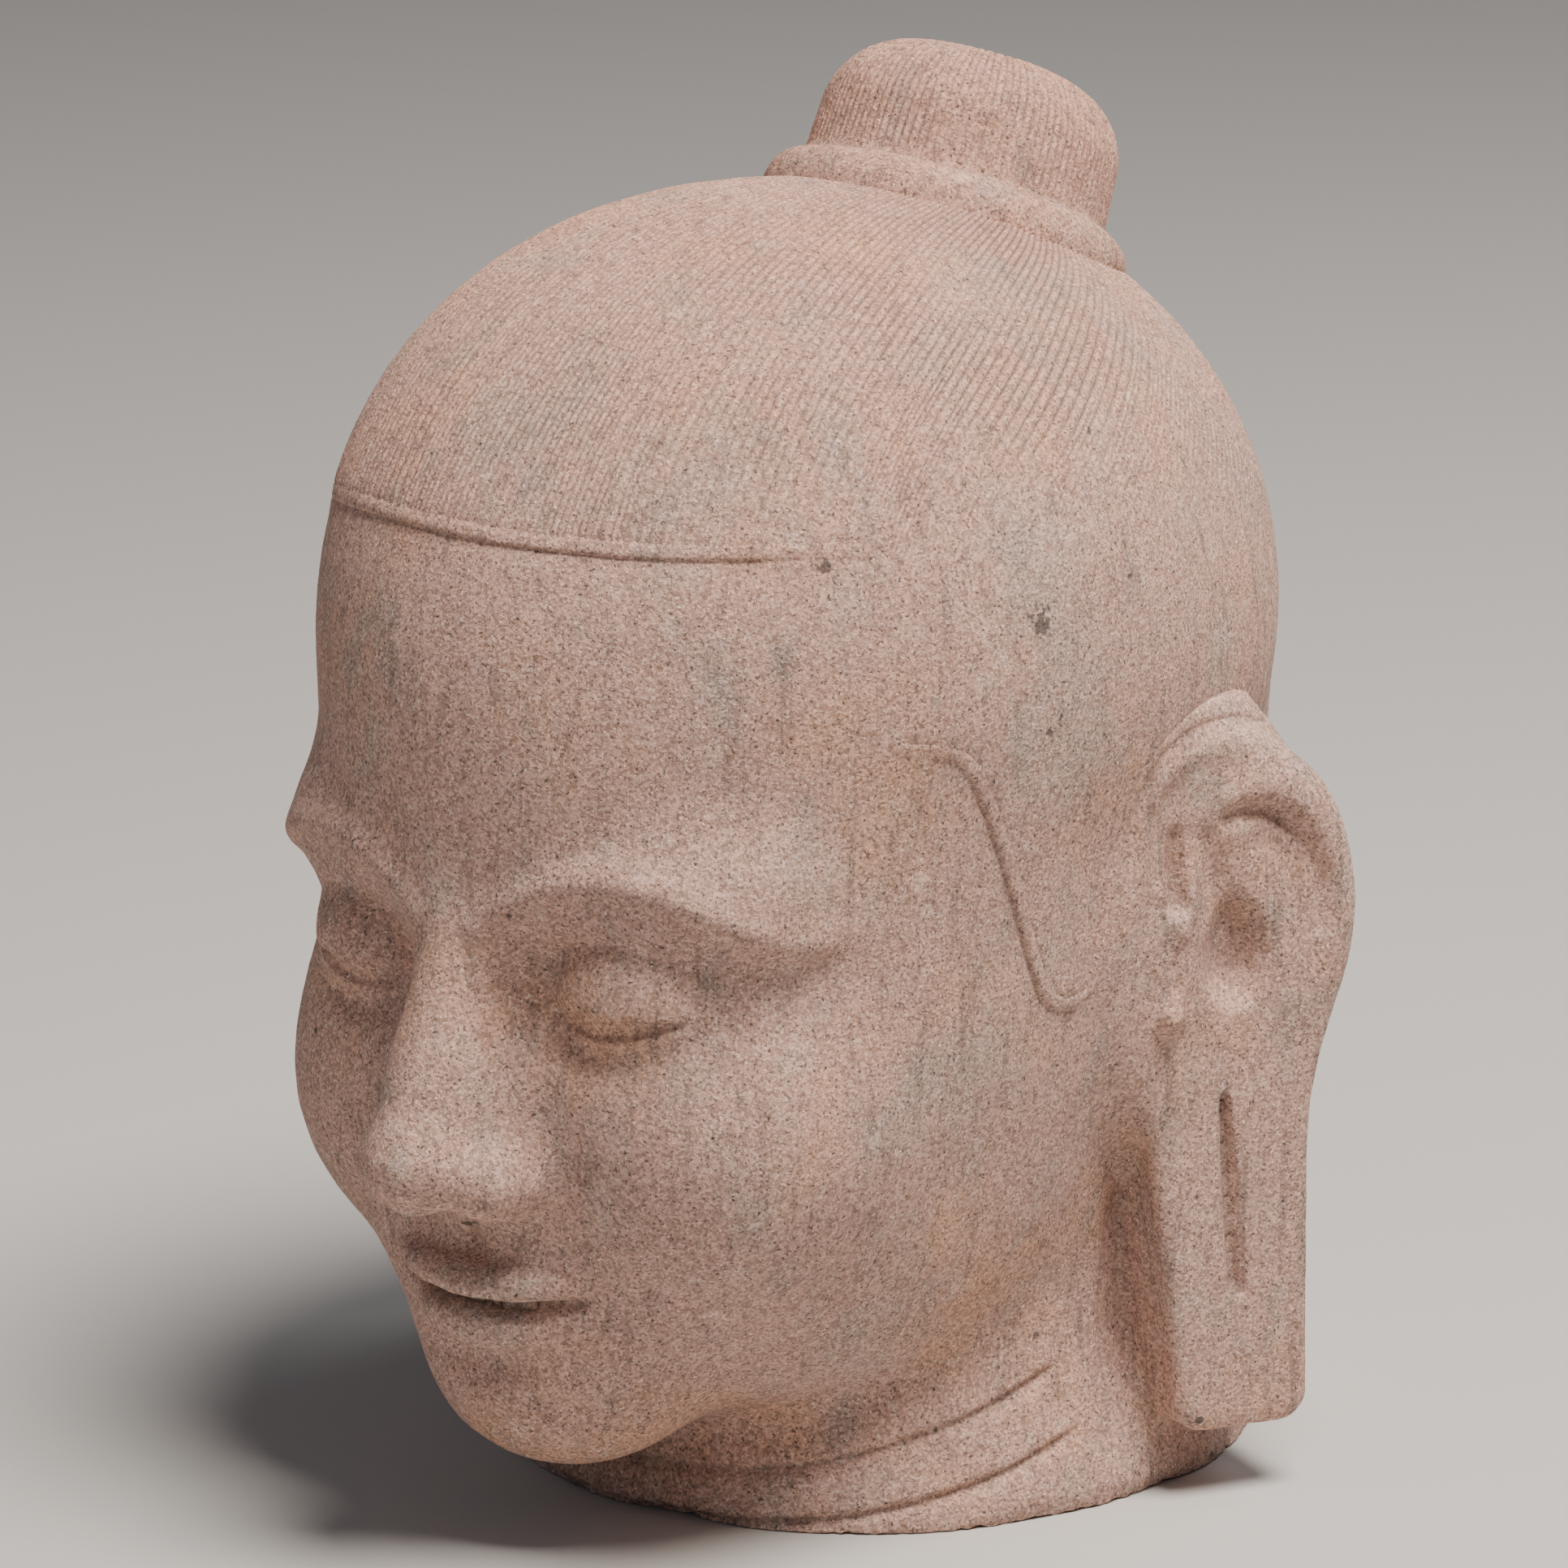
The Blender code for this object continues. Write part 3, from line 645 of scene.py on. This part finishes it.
def topknotForm(points):
    away = points - knotSeat
    up = away @ axisUp
    out = np.hypot(away @ axisSide, away @ axisFront)
    middle, half = knot["collar"]
    section = np.hypot((out - middle[0]) / half[0], (np.maximum(up, middle[1]) - middle[1]) / half[1])
    collar = (section - 1) * half[1]
    knotTop = knot["collarTop"] + knot["height"] + 0.05
    halfBun = knotTop / 2 + 1.5
    radius = knot["radius"] - 0.06 * (up - knot["collarTop"])
    bun = roundedBox(out, up - knotTop + halfBun, radius, halfBun, 2.2)
    collar = np.where(out < middle[0], np.maximum(-half[1], up - knot["collarTop"]), collar)
    return smoothMin(collar, bun, 0.12)


def rays(tilt, turn):
    # Directions by angle from the topknot's axis and angle round it, both in radians
    front = np.cos(turn)[..., None] * axisFront + np.sin(turn)[..., None] * axisSide
    return np.cos(tilt)[..., None] * axisUp + np.sin(tilt)[..., None] * front


def reach(form, start, directions, guess):
    # How far along each direction the form's surface lies
    flat = directions.reshape(-1, 3)
    length = np.full(len(flat), float(guess))
    for _ in range(9):
        off = form(start + flat * length[:, None])
        slope = (form(start + flat * (length + 0.02)[:, None]) - off) / 0.02
        length -= np.clip(off / np.maximum(slope, 0.15), -2, 2)
    return length.reshape(directions.shape[:-1])


def strandHeight(across, count, split):
    # 0 in a comb line to 1 on a strand, where each of the strands splits in two by the share split
    part = across * count % 1
    whole = 1 - (2 * part - 1) ** 2
    halves = 1 - (4 * (part % 0.5) - 1) ** 2
    return whole + (halves - whole) * split


def strandSplit(width, count, columns, low, high, seed):
    # Each strand splits in two when it has grown to a width of its own
    places = np.random.default_rng(seed).uniform(low, high, count)
    own = np.repeat(places, columns // count)
    return step(np.maximum.accumulate(width, axis=0) / own, 0.97, 1.1)


def sweptTurn(tilt, turn):
    # The strands leave the collar straight, then lean forwards as they come down the sides
    swept = [turn]
    for above, below in zip(tilt, tilt[1:]):
        signed = (swept[-1] + math.pi) % (2 * math.pi) - math.pi
        side = np.degrees(np.abs(signed))
        leaning = step(side, 0, 80) * (1 - step(side, 95, 165)) * (1 - 0.8 * step(above, 1.08, 1.4))
        lean = np.radians(hair["sweep"]) * leaning * np.sign(signed)
        swept.append(swept[-1] - np.tan(lean) / np.sin(above) * (below - above))
    return np.array(swept)


def wrapGrid(name, columns, rows, place, marks):
    # A grid wrapped round the topknot's axis: place and marks are arrays of rows by columns
    bpy.ops.object.select_all(action="DESELECT")
    bpy.ops.mesh.primitive_grid_add(x_subdivisions=columns, y_subdivisions=rows - 1, size=2)
    piece = bpy.context.object
    piece.name = name
    flat = readPoints(piece) * module
    column = np.rint((flat[:, 0] + 1) / 2 * columns).astype(int) % columns
    row = np.rint((1 - flat[:, 1]) / 2 * (rows - 1)).astype(int)
    writePoints(piece, place[row, column])
    groove = piece.data.attributes.new("combLine", "FLOAT", "POINT")
    groove.data.foreach_set("value", marks[row, column].astype(np.float32))
    closeUp(piece)
    return piece


def spread(values, times):
    # Fills in columns between computed ones, round the axis
    closed = np.concatenate([values, values[:, :1]], axis=1)
    at = np.arange(values.shape[1] * times) / times
    low = at.astype(int)
    share = at - low
    return closed[:, low] * (1 - share) + closed[:, low + 1] * share


def combHair():
    count, fine = hair["strandsAtCollar"], hair["pointsPerStrand"]
    columns, rows, coarse = count * fine, hair["rows"], 4
    start = knotSeat - hair["combCentre"] * axisUp
    first = math.radians(hair["underCollar"])
    turn = np.arange(columns // coarse) * 2 * math.pi / (columns // coarse)

    # Where each comb line ends: a little outside the hairline, evened out round the head
    tilt = np.linspace(first, math.radians(132), 100)[:, None] + 0 * turn
    found = rays(tilt, sweptTurn(tilt, turn))
    points = start + found * reach(bareHead, start, found, 14)[..., None]
    edge = hairEdge(points[..., 0], points[..., 1], points[..., 2])
    last = np.where(edge < 0.5, tilt, 0).max(axis=0)
    last = np.max([np.roll(last, shift) for shift in range(-8, 9)], axis=0)
    last = np.mean([np.roll(last, shift) for shift in range(-8, 9)], axis=0)

    # Rows run from under the collar to those ends
    share = np.linspace(0, 1, rows - 1)[:, None]
    tilt = first + share * (last - first)
    swept = sweptTurn(tilt, turn)
    length = spread(reach(bareHead, start, rays(tilt, swept), 14), coarse)
    sweep = spread(swept - turn, coarse)
    tilt = spread(tilt, coarse)
    turn = np.arange(columns) * 2 * math.pi / columns + sweep
    wander = start + rays(tilt, turn) * length[..., None]
    drift = lumps(wander.reshape(-1, 3), ((60, 10),)).reshape(tilt.shape)
    turn = turn + 0.012 * drift * step(tilt, 0.4, 0.9)
    points = start + rays(tilt, turn) * length[..., None]

    width = np.linalg.norm(np.roll(points, -fine, axis=1) - points, axis=2)
    split = strandSplit(width, count, columns, *hair["widest"], 3)
    height = strandHeight(np.arange(columns) / columns + 0 * tilt, count, split)

    # Comb lines are worn away low on the sides, and unevenly elsewhere
    flat = points.reshape(-1, 3)
    across, y, z = flat.T
    aside = roundFromFront(np.abs(across), y, hair["skullMiddle"])
    side = step(aside, 20, 50) * (1 - 0.7 * step(aside, 105, 140))
    worn = 0.95 + 0.45 * lumps(flat, ((35, 10),)) - 0.85 * side * (1 - step(z, 27, 33))
    worn = worn - 0.4 * (1 - side) * (1 - step(z, 28, 32))
    depth = hair["groove"] * np.clip(worn, 0.06, 1.2).reshape(tilt.shape)
    edge = hairEdge(across, y, z)
    sunk = 0.1 * (1 - step(-edge, 0.12, 0.42)) + 0.5 * (1 - step(-edge, -0.35, 0.12))
    raised = (hairRise(edge, across, y) - sunk).reshape(tilt.shape)
    rise = raised + 0.3 * depth - depth * (1 - height)
    rough = lumps(flat, weather["skin"])
    points = (flat + outwards(bareHead, flat) * (rise.reshape(-1) + rough)[:, None]).reshape(points.shape)

    # The first row meets in one point under the topknot
    pole = np.broadcast_to(knotSeat - 1.5 * axisUp, (1, columns, 3))
    points = np.concatenate([pole, points])
    marks = (1 - height) * depth / hair["groove"]
    marks = np.concatenate([marks[:1], marks])
    return wrapGrid("combedHair", columns, rows, points, marks)


combedHair = combHair()
print("hair combed:", len(combedHair.data.polygons), "faces")


def carveTopknot():
    count, fine = knot["strands"], knot["pointsPerStrand"]
    columns = count * fine
    start = knotSeat - 1.0 * axisUp
    tilt = np.concatenate([np.linspace(0, 50, 28), np.linspace(51.5, 71, 14), np.linspace(71.8, 102, 26)])
    tilt = np.radians(tilt)[:, None]
    found = rays(tilt, 0 * tilt)
    length = reach(topknotForm, start, found, 5)
    turn = np.arange(columns) * 2 * math.pi / columns + 0 * tilt
    tilt = tilt + 0 * turn
    points = start + rays(tilt, turn) * length[..., None]
    radius = length * np.sin(tilt)
    split = strandSplit(radius, count, columns, 2.5, 3.7, 5)
    height = strandHeight(turn / (2 * math.pi), count, split)
    flat = points.reshape(-1, 3)
    worn = 0.85 + 0.5 * lumps(flat, ((20, 10),)).reshape(tilt.shape)
    degrees = np.degrees(tilt)
    depth = knot["groove"] * worn * step(radius, 0.8, 2.4) * (1 - step(degrees, 69.5, 71.5))
    rise = -depth * (1 - height)
    onCollar = step(degrees, 70, 73).reshape(-1)
    rough = lumps(flat, weather["skin"]) * (1 - onCollar) + lumps(flat, weather["collar"]) * onCollar
    points = (flat + outwards(topknotForm, flat) * (rise.reshape(-1) + rough)[:, None]).reshape(points.shape)
    points[0] = points[0].mean(axis=0)
    marks = (1 - height) * depth / knot["groove"]
    return wrapGrid("topknot", columns, len(tilt), points, marks)


topknot = carveTopknot()
print("topknot carved:", len(topknot.data.polygons), "faces")


# Material
def linear(code):
    # An sRGB hex colour as linear red, green, blue and alpha
    parts = [int(code[i:i + 2], 16) / 255 for i in (1, 3, 5)]
    return (*[c / 12.92 if c <= 0.04045 else ((c + 0.055) / 1.055) ** 2.4 for c in parts], 1)


def addNode(tree, kind, settings, links=None):
    # Adds a node. Settings are socket values or properties; links name the output that feeds a socket.
    node = tree.nodes.new(kind)
    for name, value in settings.items():
        if isinstance(name, str) and name not in node.inputs:
            setattr(node, name, value)
    for name, value in settings.items():
        if not isinstance(name, str) or name in node.inputs:
            node.inputs[name].default_value = value
    for name, output in (links or {}).items():
        tree.links.new(output, node.inputs[name])
    return node


sandstone = {
    "colour": "#BC9788",     # quartz sand tinted by iron
    "crownTint": "#FFEADD",  # the crown is tinted pinker and a little darker, from the first height to the second, in metres
    "crownHeights": (0.26, 0.38),
    # Patches, widest first: colour, size in mm, noise values where it starts and is full, most
    # cover, and how far it is drawn out downwards
    "patches": (
        ("#CA9878", 50, 0.50, 0.68, 0.50, 1),      # rust blooms
        ("#AA9C90", 36, 0.52, 0.70, 0.45, 1.5),    # where the iron has washed out
        ("#8B8680", 15, 0.56, 0.72, 0.42, 2.5),    # grey scuffs and lichen stain
        ("#6E6058", 4, 0.55, 0.70, 0.50, 12),      # streaks of run-off
        ("#DFC4B4", 12, 0.62, 0.74, 0.45, 1),      # rubbed places
        ("#93705E", 2.6, 0.50, 0.66, 0.45, 1),     # coarser beds of grain
    ),
    "grain": 0.75,           # mm; real grains are 0.3 to 0.5 mm, a little too fine to show
    "grainLightness": (0.62, 1.38),
    "darkGrains": ("#453C38", 1.0, 0.62, 0.70, 0.8),
    "paleGrains": ("#EBDDD3", 0.8, 0.62, 0.72, 0.5),
    "grimeAndShade": "#665A53",      # old dirt and painted shade, with its most cover in comb lines and in hollows
    "grimeAndShadeCover": (0.6, 0.65),
    "stain": "#443F3E",      # small black spots, about 30 mm apart
    "stainApart": 30,
    "stainRadius": 1.3,
    "stainCover": 0.8,
    # Two larger ones: place in modules and radius in mm
    "stains": (((12.2, -7.8, 27.1), 5.2), ((8.75, -13.15, 28.98), 2.3)),
}


def carvedSandstone():
    # Medium-grained sandstone, cut with a point and rubbed down: matt, speckled, softly mottled
    material = bpy.data.materials.new("carved medium-grained sandstone")
    material.use_nodes = True
    tree = material.node_tree
    surface = tree.nodes["Principled BSDF"]
    base = linear(sandstone["colour"])
    place = addNode(tree, "ShaderNodeTexCoord", {}).outputs["Object"]

    # Broad patches, then single dark and pale grains
    colour = None
    grains = [(*sandstone["darkGrains"], 1), (*sandstone["paleGrains"], 1)]
    for i, (tone, size, low, high, cover, drawn) in enumerate([*sandstone["patches"], *grains]):
        moved = addNode(tree, "ShaderNodeMapping",
                        {"Location": (0.3 * i, 0.7 * i, 0.2 * i), "Scale": (1, 1, 1 / drawn)},
                        {"Vector": place})
        cloud = addNode(tree, "ShaderNodeTexNoise",
                        {"Scale": 1000 / size, "Detail": 3.0 if size > 2 else 1.0, "Roughness": 0.62},
                        {"Vector": moved.outputs[0]})
        share = addNode(tree, "ShaderNodeMapRange", {"From Min": low, "From Max": high, "To Max": cover},
                        {"Value": cloud.outputs[0]})
        mixed = addNode(tree, "ShaderNodeMix", {"data_type": "RGBA", 6: base, 7: linear(tone)},
                        {0: share.outputs[0]})
        if colour:
            tree.links.new(colour, mixed.inputs[6])
        colour = mixed.outputs[2]

    # Every grain has its own lightness
    grain = addNode(tree, "ShaderNodeTexVoronoi", {"Scale": 1000 / sandstone["grain"]}, {"Vector": place})
    tone = addNode(tree, "ShaderNodeSeparateColor", {}, {0: grain.outputs["Color"]})
    darkest, lightest = sandstone["grainLightness"]
    lightness = addNode(tree, "ShaderNodeMapRange", {"To Min": darkest, "To Max": lightest},
                        {"Value": tone.outputs[0]})
    colour = addNode(tree, "ShaderNodeVectorMath", {"operation": "SCALE"},
                     {0: colour, "Scale": lightness.outputs[0]}).outputs[0]

    # The crown is tinted pinker and a little darker towards the top
    height = addNode(tree, "ShaderNodeSeparateXYZ", {}, {0: place})
    low, high = sandstone["crownHeights"]
    tinted = addNode(tree, "ShaderNodeMapRange", {"From Min": low, "From Max": high, "To Max": 0.55},
                     {"Value": height.outputs[2]})
    tint = {"data_type": "RGBA", "blend_type": "MULTIPLY", 7: linear(sandstone["crownTint"])}
    colour = addNode(tree, "ShaderNodeMix", tint, {0: tinted.outputs[0], 6: colour}).outputs[2]

    # Grime and painted shade: the colour darkens in comb lines and in hollows where the surface bends inwards
    lineCover, hollowCover = sandstone["grimeAndShadeCover"]
    lines = addNode(tree, "ShaderNodeAttribute", {"attribute_name": "combLine"})
    inLines = addNode(tree, "ShaderNodeMapRange", {"From Min": 0.2, "From Max": 1.1, "To Max": lineCover},
                      {"Value": lines.outputs["Fac"]})
    bend = addNode(tree, "ShaderNodeNewGeometry", {})
    # Painted shade: the stone is darkened where its surface bends inwards
    inHollows = addNode(tree, "ShaderNodeMapRange", {"From Min": 0.49, "From Max": 0.4, "To Max": hollowCover},
                        {"Value": bend.outputs["Pointiness"]})
    grimeAndShade = addNode(tree, "ShaderNodeMath", {"operation": "MAXIMUM"},
                    {0: inLines.outputs[0], 1: inHollows.outputs[0]}).outputs[0]
    colour = addNode(tree, "ShaderNodeMix", {"data_type": "RGBA", 7: linear(sandstone["grimeAndShade"])},
                     {0: grimeAndShade, 6: colour}).outputs[2]

    # Black spots with ragged edges: scattered small ones, and the larger ones by place
    ragged = addNode(tree, "ShaderNodeTexNoise", {"Scale": 1000 / 3, "Detail": 4.0}, {"Vector": place})
    scattered = addNode(tree, "ShaderNodeTexVoronoi", {"Scale": 1000 / sandstone["stainApart"]},
                        {"Vector": place})
    away = addNode(tree, "ShaderNodeMath", {"operation": "MULTIPLY", 1: sandstone["stainApart"] / 1000},
                   {0: scattered.outputs["Distance"]})
    spots = [(away.outputs[0], sandstone["stainRadius"])]
    for spot, radius in sandstone["stains"]:
        away = addNode(tree, "ShaderNodeVectorMath",
                       {"operation": "DISTANCE", 1: [part * module for part in spot]}, {0: place})
        spots.append((away.outputs[1], radius))
    for away, radius in spots:
        rough = addNode(tree, "ShaderNodeMath",
                        {"operation": "MULTIPLY_ADD", 1: 0.004 * radius, 2: -0.002 * radius},
                        {0: ragged.outputs[0]})
        edge = addNode(tree, "ShaderNodeMath", {"operation": "ADD"}, {0: away, 1: rough.outputs[0]})
        share = addNode(tree, "ShaderNodeMapRange",
                        {"From Min": radius / 1000, "From Max": radius / 1500,
                         "To Max": sandstone["stainCover"]},
                        {"Value": edge.outputs[0]})
        colour = addNode(tree, "ShaderNodeMix", {"data_type": "RGBA", 7: linear(sandstone["stain"])},
                         {0: share.outputs[0], 6: colour}).outputs[2]
    tree.links.new(colour, surface.inputs["Base Color"])

    # Matt all over; the loose grains catch a little light
    sheen = addNode(tree, "ShaderNodeMapRange", {"To Min": 0.82, "To Max": 0.98}, {"Value": tone.outputs[1]})
    tree.links.new(sheen.outputs[0], surface.inputs["Roughness"])
    surface.inputs["IOR"].default_value = 1.5
    surface.inputs["Specular IOR Level"].default_value = 0.35
    sand = addNode(tree, "ShaderNodeTexNoise", {"Scale": 1000 / 1.1, "Detail": 3.0, "Roughness": 0.7},
                   {"Vector": place})
    standing = addNode(tree, "ShaderNodeBump", {"Strength": 0.8, "Distance": 0.0008},
                       {"Height": sand.outputs[0]})
    tree.links.new(standing.outputs[0], surface.inputs["Normal"])
    return material


stone = carvedSandstone()
for piece in (carvedHead, combedHair, topknot):
    piece.data.materials.clear()
    piece.data.materials.append(stone)
    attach(piece, "root")
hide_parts("stone_head")
print("sandstone given to every piece")

# Floor and light
studio = {
    "floor": "#BEBBB7",
    "sky": "#DCE4F2",
    "skyStrength": 0.15,
    # Lamps: azimuth, elevation, distance and size in metres, watts, colour
    "lamps": (
        (80, 66, 2.4, 1.2, 134, "#FFF8F0"),
        (0, 25, 2.8, 1.6, 5, "#EEF2FF"),
        (165, 45, 2.6, 1.2, 14, "#FFFFFF"),
    ),
}


def paint(name, colour, roughness):
    material = bpy.data.materials.new(name)
    material.use_nodes = True
    surface = material.node_tree.nodes["Principled BSDF"]
    surface.inputs["Base Color"].default_value = linear(colour)
    surface.inputs["Roughness"].default_value = roughness
    return material


def setStudio():
    bpy.ops.object.select_all(action="DESELECT")
    bpy.ops.mesh.primitive_plane_add(size=16)
    floor = bpy.context.object
    floor.name = "studioFloor"
    floor.data.materials.append(paint("pale matt floor paint", studio["floor"], 0.8))
    world = bpy.data.worlds.new("softSky")
    bpy.context.scene.world = world
    world.use_nodes = True
    sky = world.node_tree.nodes["Background"]
    sky.inputs["Color"].default_value = linear(studio["sky"])
    sky.inputs["Strength"].default_value = studio["skyStrength"]
    for azimuth, elevation, distance, size, watts, colour in studio["lamps"]:
        back = towards(azimuth, elevation)
        turn = back.to_track_quat("Z", "Y").to_euler()
        place = Vector((0, 0, 0.22)) + back * distance
        bpy.ops.object.light_add(type="AREA", location=place, rotation=turn)
        lamp = bpy.context.object.data
        lamp.shape = "DISK"
        lamp.size = size
        lamp.energy = watts
        lamp.color = linear(colour)[:3]


setStudio()
print("studio set")
